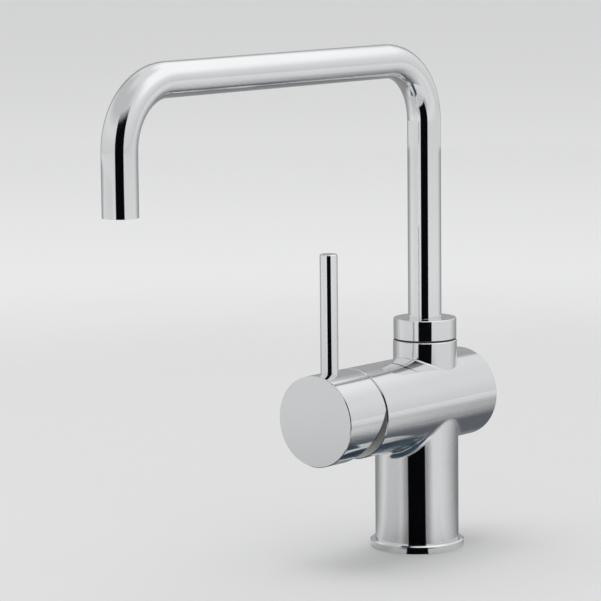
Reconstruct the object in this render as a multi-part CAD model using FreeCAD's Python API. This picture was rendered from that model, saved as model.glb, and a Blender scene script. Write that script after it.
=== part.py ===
import FreeCAD, Part
import math
import os

# A swivel kitchen mixer tap with a lying barrel, a pin lever and a tall square-bent spout.
# Lengths are millimetres. The origin is on the deck under the column, +Z is up, and the
# barrel, its handle and the spout at rest all point along +X.

Vector = FreeCAD.Vector
TO_FRONT = Vector(1, 0, 0)
TO_SIDE = Vector(0, 1, 0)
UP = Vector(0, 0, 1)

# Clearances
thread_clearance = 0.05
running_clearance = 0.05
slide_clearance = 0.1
seat_clearance = 0.15

# Foot and column
column_radius = 22.5
column_wall = 3.0
base_ring_overhang = 2.8
base_ring_height = 4.4
base_ring_chamfer = 0.7
base_lip_height = 2.4
base_seal_thickness = 0.6
gasket_thickness = 1.2
gasket_inset = 1.1
gasket_rim = 1.3
recess_roof = 11.6

# Barrel
barrel_overhang = 1.6
barrel_height = 79.7
barrel_back = -40.8
barrel_front = 55.4
barrel_back_rounding = 1.0
barrel_front_chamfer = 0.5
column_blend = 5.6

# Supply and fixing holes in the roof of the hose recess
hose_port_radius = 4.5
hose_port_depth = 12.0
hose_port_front = 6.0
hose_port_side = 9.0
stud_hole_radius = 3.4
stud_hole_depth = 12.0
stud_hole_back = 10.0
supply_passage_radius = 3.5
feed_passage_radius = 3.0
outlet_passage_radius = 3.5

# Spout socket on top of the barrel
spout_axis = -7.8
socket_radius = 17.25
socket_rise = 8.2
socket_chamfer = 0.4
socket_blend = 0.8
socket_bore_radius = 13.0
socket_bore_depth = 20.0
riser_passage_radius = 4.0

# Cartridge, stacked back from the nut in the mouth of the barrel
cartridge_radius = 17.5
cartridge_base_thickness = 5.0
cartridge_wall = 2.0
locating_pin_radius = 1.5
locating_pin_length = 2.0
locating_pin_offset = 12.5
port_radius = 2.3
port_circle_radius = 8.2
port_angle = 40.0
outlet_port_drop = 6.5
outlet_port_radius = 2.5
outlet_port_half_length = 2.5
port_seal_thickness = 1.2
port_seal_width = 1.4
fixed_disc_thickness = 4.0
moving_disc_play = 1.62
moving_disc_thickness = 3.5
disc_film = 0.03
mixing_recess_depth = 2.0
mixing_recess_radius = 5.4
mixing_recess_tail_radius = 4.5
mixing_recess_tail_drop = 5.9
carrier_thickness = 4.5
rail_height = 1.6
rail_width = 2.8
rail_offset = 7.5
rail_half_length = 7.0
rotor_flange_play = 0.7
rotor_flange_thickness = 3.0
rotor_neck_radius = 9.55
rotor_neck_length = 12.0
housing_shoulder = 2.2
housing_neck_wall = 1.8
housing_neck_length = 10.4
stop_rib_width = 3.0
stop_rib_depth = 2.3
rotor_seal_section = 0.8
rotor_seal_setback = 2.9

# Stem and its pivot pin
stem_half_width = 3.5
stem_back = 4.0
stem_overrun = 3.67
stem_chamfer = 0.5
finger_length = 11.0
finger_radius = 1.3
finger_ball_radius = 2.0
finger_gap = 0.47
stem_pin_radius = 1.5
stem_pin_length = 18.4
tilt_range = 25.0
turn_range = 45.0

# Cartridge nut and the ring that covers it
nut_overhang = 1.8
nut_thread_length = 4.0
nut_hex_length = 3.8
nut_hex_step = 0.8
cover_thickness = 1.12
cover_chamfer = 0.15
mouth_chamfer = 0.2

# Handle
hub_gap = 0.7
hub_length = 30.0
hub_wall = 3.5
hub_front_wall = 4.0
hub_front_chamfer = 0.35
hub_back_chamfer = 0.4
relief_play = 3.0
relief_start_height = 5.5
hub_boss_radius = 7.0
hub_boss_back = 15.0
hub_pillar_radius = 6.5
lever_radius = 4.65
lever_setback = 12.35
lever_length = 62.4
lever_chamfer = 0.5
lever_seat_depth = 4.0
lever_spigot_radius = 2.95
lever_spigot_gap = 1.0
hub_screw_length = 5.0
hub_screw_tip_radius = 1.0

# Spout
tube_radius = 9.0
tube_wall = 1.0
bend_radius = 33.0
riser_length = 117.7
spout_reach = 238.4
outlet_leg_length = 31.3
collar_step = 0.3
collar_height = 11.2
collar_gap = 0.7
collar_chamfer = 0.4
swivel_washer_thickness = 0.6
swivel_washer_inset = 0.7
nipple_spigot_length = 15.0
nipple_bore_radius = 6.5
nipple_foot_gap = 1.0
slide_ring_height = 1.5
slide_ring_depth = 1.1
o_ring_section = 1.0
o_ring_groove_width = 2.6
o_ring_drops = (8.5, 13.5)
retaining_groove_drop = 4.1
retaining_groove_width = 4.4
retaining_groove_depth = 1.5
spout_screw_radius = 2.0
spout_screw_point_radius = 1.3
spout_screw_point_length = 1.2

# Aerator in the mouth of the spout
sleeve_setback = 1.0
sleeve_length = 12.0
sleeve_wall = 0.75
aerator_setback = 0.4
aerator_height = 9.5
aerator_wall = 0.9
aerator_notch_width = 1.6
aerator_notch_depth = 1.0
screen_thickness = 2.0
screen_hole_radius = 0.65
screen_hole_pitch = 1.9
screen_rings = 2
insert_height = 4.5
insert_slots = 6
insert_slot_radius = 0.9
aerator_washer_thickness = 1.5
aerator_washer_width = 1.7

# Faces and axes that several pieces share
column_foot = base_lip_height + base_seal_thickness
hose_recess_radius = column_radius - column_wall
base_ring_radius = column_radius + base_ring_overhang
gasket_inner_radius = hose_recess_radius + gasket_inset
gasket_outer_radius = base_ring_radius - gasket_rim
barrel_radius = column_radius + barrel_overhang
barrel_axis = Vector(0, 0, barrel_height)
hose_recess_top = barrel_height - barrel_radius - recess_roof
hub_top = barrel_height + barrel_radius
socket_top = hub_top + socket_rise
cover_back = barrel_front - cover_thickness
nut_front = cover_back - thread_clearance
nut_seat = nut_front - nut_hex_length - nut_thread_length
housing_roof = nut_seat - housing_shoulder
rotor_flange_front = housing_roof - slide_clearance
rotor_back = rotor_flange_front - rotor_flange_thickness
carrier_back = rotor_back - slide_clearance - carrier_thickness
disc_face = carrier_back - moving_disc_thickness - disc_film
chamber_floor = disc_face - fixed_disc_thickness - cartridge_base_thickness
housing_bore = cartridge_radius - cartridge_wall
housing_neck_bore = rotor_neck_radius + 2.0 * slide_clearance
housing_neck_radius = housing_neck_bore + housing_neck_wall
pivot_x = carrier_back + finger_gap + finger_ball_radius + finger_length
pivot = Vector(pivot_x, 0, barrel_height)
rest_lean = tilt_range / 2.0
disc_travel = 2.0 * finger_length * math.sin(math.radians(rest_lean))
moving_disc_radius = housing_bore - disc_travel / 2.0 - moving_disc_play
rotor_flange_radius = housing_bore - rotor_flange_play
nut_radius = cartridge_radius + nut_overhang
mouth_radius = nut_radius + thread_clearance
relief_angle = tilt_range + relief_play
hub_back = barrel_front + hub_gap
hub_front = hub_back + hub_length
lever_axis = hub_front - lever_setback
lever_seat = hub_top - lever_seat_depth
lever_top = hub_top + lever_length
stem_reach = (lever_axis - pivot_x) / math.cos(math.radians(rest_lean)) + stem_overrun
collar_radius = socket_radius - collar_step
collar_bottom = socket_top + collar_gap
arm_height = collar_bottom + riser_length + bend_radius
outlet_height = arm_height - bend_radius - outlet_leg_length
outlet_axis = spout_axis + spout_reach
tube_bore_radius = tube_radius - tube_wall
nipple_radius = socket_bore_radius - 2.0 * running_clearance
port_side = port_circle_radius * math.sin(math.radians(port_angle))
port_rise = port_circle_radius * math.cos(math.radians(port_angle))
retaining_height = socket_top - retaining_groove_drop
made_nodes = []


def lathe(corners, base, axis, sweep=360.0):
    # Turns a closed outline of (radius, distance along the axis) pairs about an axis.
    points = [base + TO_SIDE * radius + axis * distance for radius, distance in corners]
    face = Part.Face(Part.makePolygon(points + points[:1]))
    return face.revolve(base, axis, sweep)


def upright(radius, bottom, top, x=0.0, y=0.0):
    return Part.makeCylinder(radius, top - bottom, Vector(x, y, bottom), UP)


def lying(radius, back, front, y=0.0, rise=0.0):
    start = Vector(back, y, barrel_height + rise)
    return Part.makeCylinder(radius, front - back, start, TO_FRONT)


def lying_lathe(corners, sweep=360.0):
    return lathe(corners, barrel_axis, TO_FRONT, sweep)


def spout_lathe(corners):
    return lathe(corners, Vector(spout_axis, 0, 0), UP)


def outlet_lathe(corners):
    return lathe(corners, Vector(outlet_axis, 0, 0), UP)


def ring_corners(inner, outer, start, end):
    return [(inner, start), (outer, start), (outer, end), (inner, end)]


def block(x0, x1, y0, y1, z0, z1):
    return Part.makeBox(x1 - x0, y1 - y0, z1 - z0, Vector(x0, y0, z0))


def lean_with_stem(shape):
    shape.rotate(pivot, TO_SIDE, -rest_lean)
    return shape


def joined(first, *others):
    return first.fuse(list(others)).removeSplitter()


def keep(name, shape):
    os.makedirs("parts", exist_ok=True)
    if not shape.isValid():
        raise ValueError(name + " is not a valid solid")
    shape.exportStep("parts/" + name + ".step")
    made_nodes.append(name)
    box = shape.BoundBox
    print("%-20s solids %d volume %9.1f  x %.1f %.1f  y %.1f %.1f  z %.1f %.1f" % (
        name, len(shape.Solids), shape.Volume,
        box.XMin, box.XMax, box.YMin, box.YMax, box.ZMin, box.ZMax))


def blend_edges(shape, radius, low, high):
    # Rounds the crossing curves of two cylinders that lie wholly between two heights.
    crossing = []
    for edge in shape.Edges:
        curved = edge.Curve.TypeId not in ("Part::GeomLine", "Part::GeomCircle")
        box = edge.BoundBox
        if curved and box.ZMin > low and box.ZMax < high:
            crossing.append(edge)
    return shape.makeFillet(radius, crossing)


# Body casting

def barrel_blank():
    blank = lying(barrel_radius, barrel_back, barrel_front)
    back_rim = [e for e in blank.Edges if abs(e.BoundBox.XMax - barrel_back) < 0.01]
    blank = blank.makeFillet(barrel_back_rounding, back_rim)
    front_rim = [e for e in blank.Edges if abs(e.BoundBox.XMin - barrel_front) < 0.01]
    return blank.makeChamfer(barrel_front_chamfer, front_rim)


def socket_blank():
    return spout_lathe([
        (0, barrel_height), (socket_radius, barrel_height),
        (socket_radius, socket_top - socket_chamfer),
        (socket_radius - socket_chamfer, socket_top), (0, socket_top)])


def water_ways():
    # Hot and cold rise from the hose holes to the cartridge, and mixed water goes to the spout.
    roof = hose_recess_top
    feed_height = barrel_height + port_rise
    ways = [
        lying(outlet_passage_radius, spout_axis, chamber_floor + 1.0, rise=-outlet_port_drop),
        upright(riser_passage_radius, barrel_height - outlet_port_drop,
                socket_top - socket_bore_depth + 1.0, spout_axis)]
    for side in (-1, 1):
        port_y = side * hose_port_side
        ways.append(upright(hose_port_radius, roof - 1.0, roof + hose_port_depth,
                            hose_port_front, port_y))
        ways.append(upright(supply_passage_radius, roof, feed_height, hose_port_front, port_y))
        ways.append(lying(feed_passage_radius, hose_port_front, chamber_floor + 1.0,
                          side * port_side, port_rise))
    return ways


def cartridge_chamber():
    bore = cartridge_radius + seat_clearance
    step = nut_seat - housing_shoulder / 4.0
    return lying_lathe([
        (0, chamber_floor), (bore, chamber_floor), (bore, step), (mouth_radius, step),
        (mouth_radius, barrel_front - mouth_chamfer),
        (mouth_radius + mouth_chamfer, barrel_front),
        (mouth_radius + mouth_chamfer, barrel_front + 1.0), (0, barrel_front + 1.0)])


def body_casting():
    column = upright(column_radius, column_foot, barrel_height)
    body = joined(column, barrel_blank())
    body = blend_edges(body, column_blend, column_foot, barrel_height)
    body = joined(body, socket_blank())
    body = blend_edges(body, socket_blend, barrel_height, socket_top)
    tools = water_ways()
    tools.append(cartridge_chamber())
    tools.append(upright(hose_recess_radius, column_foot - 1.0, hose_recess_top))
    tools.append(upright(stud_hole_radius, hose_recess_top - 1.0,
                         hose_recess_top + stud_hole_depth, -stud_hole_back))
    tools.append(upright(socket_bore_radius, socket_top - socket_bore_depth,
                         socket_top + 1.0, spout_axis))
    tools.append(lying(spout_screw_radius + thread_clearance,
                       spout_axis - socket_radius - 1.0, spout_axis,
                       rise=retaining_height - barrel_height))
    for side in (-1, 1):
        tools.append(lying(locating_pin_radius + thread_clearance,
                           chamber_floor - locating_pin_length - slide_clearance,
                           chamber_floor + 1.0, side * locating_pin_offset))
    return body.cut(tools)


# Base ring, its gasket and the seal under the column

def base_ring():
    socket = column_radius + seat_clearance
    ring = lathe([
        (hose_recess_radius, 0), (base_ring_radius, 0),
        (base_ring_radius, base_ring_height - base_ring_chamfer),
        (base_ring_radius - base_ring_chamfer, base_ring_height),
        (socket, base_ring_height), (socket, base_lip_height),
        (hose_recess_radius, base_lip_height)], Vector(0, 0, 0), UP)
    groove = lathe(ring_corners(gasket_inner_radius, gasket_outer_radius,
                                -1.0, gasket_thickness), Vector(0, 0, 0), UP)
    return ring.cut(groove)


def base_gasket():
    return lathe(ring_corners(gasket_inner_radius, gasket_outer_radius,
                              0, gasket_thickness), Vector(0, 0, 0), UP)


def base_ring_seal():
    return lathe(ring_corners(hose_recess_radius, column_radius,
                              base_lip_height, column_foot), Vector(0, 0, 0), UP)


# Cartridge pieces that stay still in the barrel

def oblong(radius, half_length, back, front, rise):
    # A flat oblong across the barrel: two rounds and the block between them.
    height = barrel_height + rise
    return joined(
        block(back, front, -half_length, half_length, height - radius, height + radius),
        lying(radius, back, front, -half_length, rise),
        lying(radius, back, front, half_length, rise))


def port_cuts(back, front):
    cuts = [lying(port_radius, back, front, side * port_side, port_rise) for side in (-1, 1)]
    cuts.append(oblong(outlet_port_radius, outlet_port_half_length, back, front,
                       -outlet_port_drop))
    return cuts


def port_seal_blanks(back, front):
    # The outlet is oblong, so its seal is an oblong ring, and the inlets have round ones.
    blanks = [lying(port_radius + port_seal_width, back, front, side * port_side, port_rise)
              for side in (-1, 1)]
    blanks.append(oblong(outlet_port_radius + port_seal_width, outlet_port_half_length,
                         back, front, -outlet_port_drop))
    return blanks


def cartridge_base():
    front = chamber_floor + cartridge_base_thickness
    base = lying(cartridge_radius, chamber_floor, front)
    for side in (-1, 1):
        pin = lying(locating_pin_radius, chamber_floor - locating_pin_length, chamber_floor + 1.0,
                    side * locating_pin_offset)
        base = base.fuse(pin)
    cuts = port_cuts(chamber_floor - 1.0, front + 1.0)
    cuts += port_seal_blanks(chamber_floor - 1.0, chamber_floor + port_seal_thickness)
    return base.removeSplitter().cut(cuts)


def port_seals():
    # Three separate rubber rings in the back of the cartridge base.
    end = chamber_floor + port_seal_thickness
    cuts = port_cuts(chamber_floor - 1.0, end + 1.0)
    return Part.makeCompound([blank.cut(cuts) for blank in port_seal_blanks(chamber_floor, end)])


def fixed_disc():
    back = chamber_floor + cartridge_base_thickness
    disc = lying(housing_bore - slide_clearance, back, disc_face)
    return disc.cut(port_cuts(back - 1.0, disc_face + 1.0))


def cartridge_housing():
    back = chamber_floor + cartridge_base_thickness
    neck_end = nut_seat + housing_neck_length
    shell = lying_lathe([
        (housing_bore, back), (cartridge_radius, back), (cartridge_radius, nut_seat),
        (housing_neck_radius, nut_seat), (housing_neck_radius, neck_end),
        (housing_neck_bore, neck_end), (housing_neck_bore, housing_roof),
        (housing_bore, housing_roof)])
    half = stop_rib_width / 2.0
    floor = barrel_height - housing_bore
    rib = block(rotor_back + slide_clearance, housing_roof + slide_clearance, -half, half,
                floor - slide_clearance, floor + stop_rib_depth)
    return joined(shell, rib)


def cartridge_nut():
    bore = housing_neck_radius + 2.0 * slide_clearance
    thread_end = nut_seat + nut_thread_length
    corner = nut_radius - nut_hex_step
    points = []
    for step in range(6):
        angle = math.radians(60.0 * step + 30.0)
        points.append(Vector(thread_end, corner * math.sin(angle),
                             barrel_height + corner * math.cos(angle)))
    hexagon = Part.Face(Part.makePolygon(points + points[:1])).extrude(TO_FRONT * nut_hex_length)
    nut = joined(lying(nut_radius, nut_seat, thread_end), hexagon)
    return nut.cut(lying(bore, nut_seat - 1.0, nut_front + 1.0))


def cover_ring():
    # A plated trim ring that hides the nut, flush with the front face of the barrel.
    inner = housing_neck_radius + seat_clearance
    outer = mouth_radius - seat_clearance
    return lying_lathe([
        (inner, cover_back), (outer, cover_back), (outer, barrel_front - cover_chamfer),
        (outer - cover_chamfer, barrel_front), (inner + cover_chamfer, barrel_front),
        (inner, barrel_front - cover_chamfer)])


# Cartridge pieces that turn with the handle

def stem_slot_half_height():
    lean = math.radians(rest_lean)
    reach = rotor_flange_front + rotor_neck_length - pivot_x
    return stem_half_width / math.cos(lean) + reach * math.tan(lean) + 3.0 * slide_clearance


def cartridge_rotor():
    end = rotor_flange_front + rotor_neck_length
    rotor = lying_lathe([
        (0, rotor_back), (rotor_flange_radius, rotor_back),
        (rotor_flange_radius, rotor_flange_front), (rotor_neck_radius, rotor_flange_front),
        (rotor_neck_radius, end), (0, end)])
    half_y = stem_half_width + slide_clearance
    half_z = stem_slot_half_height()
    cuts = [block(rotor_back - 1.0, end + 1.0, -half_y, half_y,
                  barrel_height - half_z, barrel_height + half_z)]
    groove_half = rail_width / 2.0 + slide_clearance
    for side in (-1, 1):
        middle = side * rail_offset
        cuts.append(block(rotor_back - 1.0, rotor_back + rail_height + slide_clearance,
                          middle - groove_half, middle + groove_half,
                          barrel_height - rotor_flange_radius - 1.0,
                          barrel_height + rotor_flange_radius + 1.0))
    pin_hole = stem_pin_radius + thread_clearance
    cuts.append(Part.makeCylinder(pin_hole, 2.0 * rotor_neck_radius + 2.0,
                                  pivot - TO_SIDE * (rotor_neck_radius + 1.0), TO_SIDE))
    cuts.append(turn_stop_recess())
    groove = rotor_seal_section + slide_clearance
    seal_x = pivot_x - rotor_seal_setback
    floor = rotor_neck_radius + slide_clearance - 2.0 * rotor_seal_section
    cuts.append(lying_lathe(ring_corners(floor, rotor_neck_radius + 1.0,
                                         seal_x - groove, seal_x + groove)))
    return rotor.cut(cuts)


def turn_stop_recess():
    # The stop rib of the housing meets the ends of this recess at the two ends of the turn.
    inner = housing_bore - stop_rib_depth - 2.0 * slide_clearance
    rib_angle = math.degrees(math.asin(stop_rib_width / 2.0 / inner))
    half_angle = turn_range + rib_angle + 1.0
    ring = lying_lathe(ring_corners(inner, rotor_flange_radius + 1.0, rotor_back - 1.0,
                                    rotor_flange_front + 1.0), 2.0 * half_angle)
    ring.rotate(barrel_axis, TO_FRONT, -90.0 - half_angle)
    return ring


def stem_pin():
    half = stem_pin_length / 2.0
    return Part.makeCylinder(stem_pin_radius, stem_pin_length, pivot - TO_SIDE * half, TO_SIDE)


def rotor_seal():
    centre = rotor_neck_radius + slide_clearance - rotor_seal_section
    return Part.makeTorus(centre, rotor_seal_section,
                          Vector(pivot_x - rotor_seal_setback, 0, barrel_height), TO_FRONT)


# The sliding ceramic disc and the carrier that moves it

def disc_rest_rise():
    return -disc_travel / 2.0


def moving_disc():
    back = disc_face + disc_film
    rise = disc_rest_rise()
    disc = lying(moving_disc_radius, back, carrier_back, rise=rise)
    recess = joined(
        lying(mixing_recess_radius, back - 1.0, back + mixing_recess_depth),
        lying(mixing_recess_tail_radius, back - 1.0, back + mixing_recess_depth,
              rise=-mixing_recess_tail_drop))
    return disc.cut(recess)


def disc_carrier():
    front = carrier_back + carrier_thickness
    middle = barrel_height + disc_rest_rise()
    carrier = lying(moving_disc_radius, carrier_back, front, rise=disc_rest_rise())
    half = rail_width / 2.0
    for side in (-1, 1):
        rail = block(front - 1.0, front + rail_height, side * rail_offset - half,
                     side * rail_offset + half, middle - rail_half_length,
                     middle + rail_half_length)
        carrier = carrier.fuse(rail)
    grip = finger_ball_radius + slide_clearance
    slot = block(carrier_back - 1.0, front + 1.0, -grip - slide_clearance,
                 grip + slide_clearance, middle - grip, middle + grip)
    return carrier.removeSplitter().cut(slot)


# Handle: stem, hub, lever and the screw under it

def stem_blank(half_width, back, front):
    return block(pivot_x + back, pivot_x + front, -half_width, half_width,
                 barrel_height - half_width, barrel_height + half_width)


def cartridge_stem():
    bar = stem_blank(stem_half_width, -stem_back, stem_reach)
    long_edges = [e for e in bar.Edges if e.BoundBox.XLength > stem_reach]
    bar = bar.makeChamfer(stem_chamfer, long_edges)
    finger = lying(finger_radius, pivot_x - finger_length, pivot_x - stem_back + 1.0)
    ball = Part.makeSphere(finger_ball_radius, pivot - TO_FRONT * finger_length)
    hole = Part.makeCylinder(stem_pin_radius + running_clearance, 2.0 * stem_half_width + 2.0,
                             pivot - TO_SIDE * (stem_half_width + 1.0), TO_SIDE)
    return lean_with_stem(joined(bar, finger, ball).cut(hole))


def relief_cutter():
    # Everything behind a leaning plane, so that the hub clears the barrel when it tilts out.
    start = Vector(hub_back, 0, barrel_height + relief_start_height)
    size = 4.0 * barrel_radius
    cutter = block(start.x - size, start.x, -size / 2.0, size / 2.0, start.z - size, start.z)
    cutter.rotate(start, TO_SIDE, -relief_angle)
    return cutter


def handle_hub():
    cavity_radius = barrel_radius - hub_wall
    cavity_front = hub_front - hub_front_wall
    cup = lying_lathe([
        (cavity_radius, hub_back), (barrel_radius - hub_back_chamfer, hub_back),
        (barrel_radius, hub_back + hub_back_chamfer),
        (barrel_radius, hub_front - hub_front_chamfer),
        (barrel_radius - hub_front_chamfer, hub_front), (0, hub_front), (0, cavity_front),
        (cavity_radius, cavity_front)])
    boss = lean_with_stem(lying(hub_boss_radius, pivot_x + hub_boss_back, cavity_front + 3.0))
    stem_height = stem_axis_height(lever_axis)
    pillar = upright(hub_pillar_radius, stem_height, barrel_height + cavity_radius + 1.0,
                     lever_axis)
    hub = joined(cup, boss, pillar)
    socket = lean_with_stem(stem_blank(stem_half_width + slide_clearance,
                                       hub_boss_back - 1.0, stem_reach + seat_clearance))
    screw_hole = upright(lever_spigot_radius + thread_clearance, stem_height, hub_top,
                         lever_axis)
    lever_hole = upright(lever_radius + thread_clearance, lever_seat, hub_top + 1.0, lever_axis)
    return hub.cut([socket, screw_hole, lever_hole, relief_cutter()])


def stem_axis_height(x):
    return barrel_height + (x - pivot_x) * math.tan(math.radians(rest_lean))


def lever_rod():
    tip = hub_screw_tip() + hub_screw_length + lever_spigot_gap
    return lathe([
        (0, tip), (lever_spigot_radius - lever_chamfer, tip),
        (lever_spigot_radius, tip + lever_chamfer), (lever_spigot_radius, lever_seat),
        (lever_radius, lever_seat), (lever_radius, lever_top - lever_chamfer),
        (lever_radius - lever_chamfer, lever_top), (0, lever_top)],
        Vector(lever_axis, 0, 0), UP)


def hub_screw_tip():
    # The height where the front edge of the screw's tip meets the leaning top of the stem.
    rise = stem_half_width / math.cos(math.radians(rest_lean))
    return stem_axis_height(lever_axis + hub_screw_tip_radius) + rise


def hub_grub_screw():
    tip = hub_screw_tip()
    shoulder = tip + lever_spigot_radius - hub_screw_tip_radius
    top = tip + hub_screw_length
    body = lathe([
        (0, tip), (hub_screw_tip_radius, tip), (lever_spigot_radius, shoulder),
        (lever_spigot_radius, top), (0, top)], Vector(lever_axis, 0, 0), UP)
    return body.cut(hex_key_socket(Vector(lever_axis, 0, top), UP, lever_spigot_radius / 2.0))


def hex_key_socket(mouth, axis, radius):
    # Six-sided key hole as deep as it is wide, sunk from the mouth against the axis.
    points = []
    for step in range(6):
        angle = math.radians(60.0 * step)
        across = axis.cross(TO_SIDE) * (radius * math.cos(angle))
        points.append(mouth + across + TO_SIDE * (radius * math.sin(angle)))
    face = Part.Face(Part.makePolygon(points + points[:1]))
    return face.extrude(axis * (-2.0 * radius))


# Spout

def spout_path():
    corner = arm_height - bend_radius
    lean = bend_radius * math.sin(math.radians(45.0))
    back, front = spout_axis + bend_radius, outlet_axis - bend_radius
    riser = Part.LineSegment(Vector(spout_axis, 0, collar_bottom), Vector(spout_axis, 0, corner))
    first = Part.Arc(Vector(spout_axis, 0, corner), Vector(back - lean, 0, corner + lean),
                     Vector(back, 0, arm_height))
    arm = Part.LineSegment(Vector(back, 0, arm_height), Vector(front, 0, arm_height))
    second = Part.Arc(Vector(front, 0, arm_height), Vector(front + lean, 0, corner + lean),
                      Vector(outlet_axis, 0, corner))
    leg = Part.LineSegment(Vector(outlet_axis, 0, corner), Vector(outlet_axis, 0, outlet_height))
    return Part.Wire([run.toShape() for run in (riser, first, arm, second, leg)])


def spout_rod(radius):
    ring = Part.Wire(Part.Circle(Vector(spout_axis, 0, collar_bottom), UP, radius).toShape())
    return spout_path().makePipeShell([ring], True, False)


def spout_tube():
    return spout_rod(tube_radius).cut(spout_rod(tube_bore_radius))


def spout_collar():
    bore = tube_radius + thread_clearance
    top = collar_bottom + collar_height
    return spout_lathe([
        (bore, collar_bottom), (collar_radius - collar_chamfer, collar_bottom),
        (collar_radius, collar_bottom + collar_chamfer), (collar_radius, top - collar_chamfer),
        (collar_radius - collar_chamfer, top), (bore + collar_chamfer, top),
        (bore, top - collar_chamfer)])


def slide_ring_heights():
    foot = socket_top - socket_bore_depth + nipple_foot_gap + slide_ring_height / 2.0
    return socket_top - slide_clearance - slide_ring_height, foot


def spout_nipple():
    foot = socket_top - socket_bore_depth + nipple_foot_gap
    spigot = tube_bore_radius - running_clearance
    top = collar_bottom + nipple_spigot_length
    nipple = spout_lathe([
        (nipple_bore_radius, foot), (nipple_radius, foot), (nipple_radius, collar_bottom),
        (spigot, collar_bottom), (spigot, top), (nipple_bore_radius, top)])
    cuts = [spout_lathe(ring_corners(
        nipple_radius - retaining_groove_depth, nipple_radius + 1.0,
        retaining_height - retaining_groove_width / 2.0,
        retaining_height + retaining_groove_width / 2.0))]
    seal_floor = socket_bore_radius - running_clearance - 2.0 * o_ring_section
    for drop in o_ring_drops:
        middle = socket_top - drop
        cuts.append(spout_lathe(ring_corners(
            seal_floor, nipple_radius + 1.0, middle - o_ring_groove_width / 2.0,
            middle + o_ring_groove_width / 2.0)))
    ring_floor = socket_bore_radius - running_clearance - slide_ring_depth
    for bottom in slide_ring_heights():
        cuts.append(spout_lathe(ring_corners(
            ring_floor, nipple_radius + 1.0, bottom, bottom + slide_ring_height)))
    return nipple.cut(cuts)


def spout_o_rings():
    centre = socket_bore_radius - running_clearance - o_ring_section
    return Part.makeCompound([
        Part.makeTorus(centre, o_ring_section, Vector(spout_axis, 0, socket_top - drop), UP)
        for drop in o_ring_drops])


def slide_ring(bottom):
    outer = socket_bore_radius - running_clearance
    return spout_lathe(ring_corners(outer - slide_ring_depth, outer, bottom,
                                    bottom + slide_ring_height))


def swivel_washer():
    inner = socket_bore_radius + swivel_washer_inset
    outer = socket_radius - socket_chamfer - seat_clearance
    return spout_lathe(ring_corners(inner, outer, socket_top,
                                    socket_top + swivel_washer_thickness))


def spout_grub_screw():
    # Its point runs in the groove of the nipple: the spout swivels but can't be lifted out.
    groove_floor = nipple_radius - retaining_groove_depth
    tip = -(groove_floor + slide_clearance)
    shoulder = tip - spout_screw_point_length
    end = -(socket_radius - socket_chamfer)
    base = Vector(spout_axis, 0, retaining_height)
    body = lathe([
        (0, tip), (spout_screw_point_radius, tip), (spout_screw_point_radius, shoulder),
        (spout_screw_radius, shoulder), (spout_screw_radius, end), (0, end)], base, TO_FRONT)
    mouth = base + TO_FRONT * end
    return body.cut(hex_key_socket(mouth, -TO_FRONT, spout_screw_radius / 2.0))


# Aerator in the outlet of the spout

def sleeve_bore():
    return tube_bore_radius - running_clearance - sleeve_wall


def outlet_sleeve():
    bottom = outlet_height + sleeve_setback
    return outlet_lathe(ring_corners(sleeve_bore(), tube_bore_radius - running_clearance,
                                     bottom, bottom + sleeve_length))


def aerator_outer():
    return sleeve_bore() - thread_clearance


def aerator_bottom():
    return outlet_height + sleeve_setback + aerator_setback


def aerator_housing():
    outer = aerator_outer()
    inner = outer - aerator_wall
    bottom = aerator_bottom()
    ledge = inner - aerator_wall
    shell = outlet_lathe([
        (ledge, bottom), (outer, bottom), (outer, bottom + aerator_height),
        (inner, bottom + aerator_height), (inner, bottom + aerator_wall),
        (ledge, bottom + aerator_wall)])
    half = aerator_notch_width / 2.0
    across = block(outlet_axis - outer - 1.0, outlet_axis + outer + 1.0, -half, half,
                   bottom - 1.0, bottom + aerator_notch_depth / 2.0)
    along = block(outlet_axis - half, outlet_axis + half, -outer - 1.0, outer + 1.0,
                  bottom - 1.0, bottom + aerator_notch_depth / 2.0)
    return shell.cut([across, along])


def aerator_screen():
    # A plate of small round holes on rings about its middle.
    bottom = aerator_bottom() + aerator_wall
    radius = aerator_outer() - aerator_wall - running_clearance
    plate = upright(radius, bottom, bottom + screen_thickness, outlet_axis)
    cuts = [upright(screen_hole_radius, bottom - 1.0, bottom + screen_thickness + 1.0, outlet_axis)]
    for ring in range(1, screen_rings + 1):
        count = 6 * ring
        for step in range(count):
            angle = 2.0 * math.pi * step / count
            cuts.append(upright(screen_hole_radius, bottom - 1.0, bottom + screen_thickness + 1.0,
                                outlet_axis + ring * screen_hole_pitch * math.cos(angle),
                                ring * screen_hole_pitch * math.sin(angle)))
    return plate.cut(cuts)


def aerator_insert():
    # A shallow dish whose slots break the water into jets above the screen.
    bottom = aerator_bottom() + aerator_wall + screen_thickness
    radius = aerator_outer() - aerator_wall - running_clearance
    floor = bottom + insert_height / 2.0
    dish = outlet_lathe([
        (radius - aerator_wall, bottom), (radius, bottom), (radius, bottom + insert_height),
        (radius - aerator_wall, bottom + insert_height), (radius - aerator_wall, floor + 1.0),
        (0, floor + 1.0), (0, floor), (radius - aerator_wall, floor)])
    cuts = []
    for step in range(insert_slots):
        angle = 2.0 * math.pi * step / insert_slots
        reach = radius / 2.0
        cuts.append(upright(insert_slot_radius, floor - 1.0, floor + 2.0,
                            outlet_axis + reach * math.cos(angle), reach * math.sin(angle)))
    return dish.cut(cuts)


def aerator_washer():
    bottom = aerator_bottom() + aerator_height
    outer = aerator_outer()
    return outlet_lathe(ring_corners(outer - aerator_washer_width, outer, bottom,
                                     bottom + aerator_washer_thickness))


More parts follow.
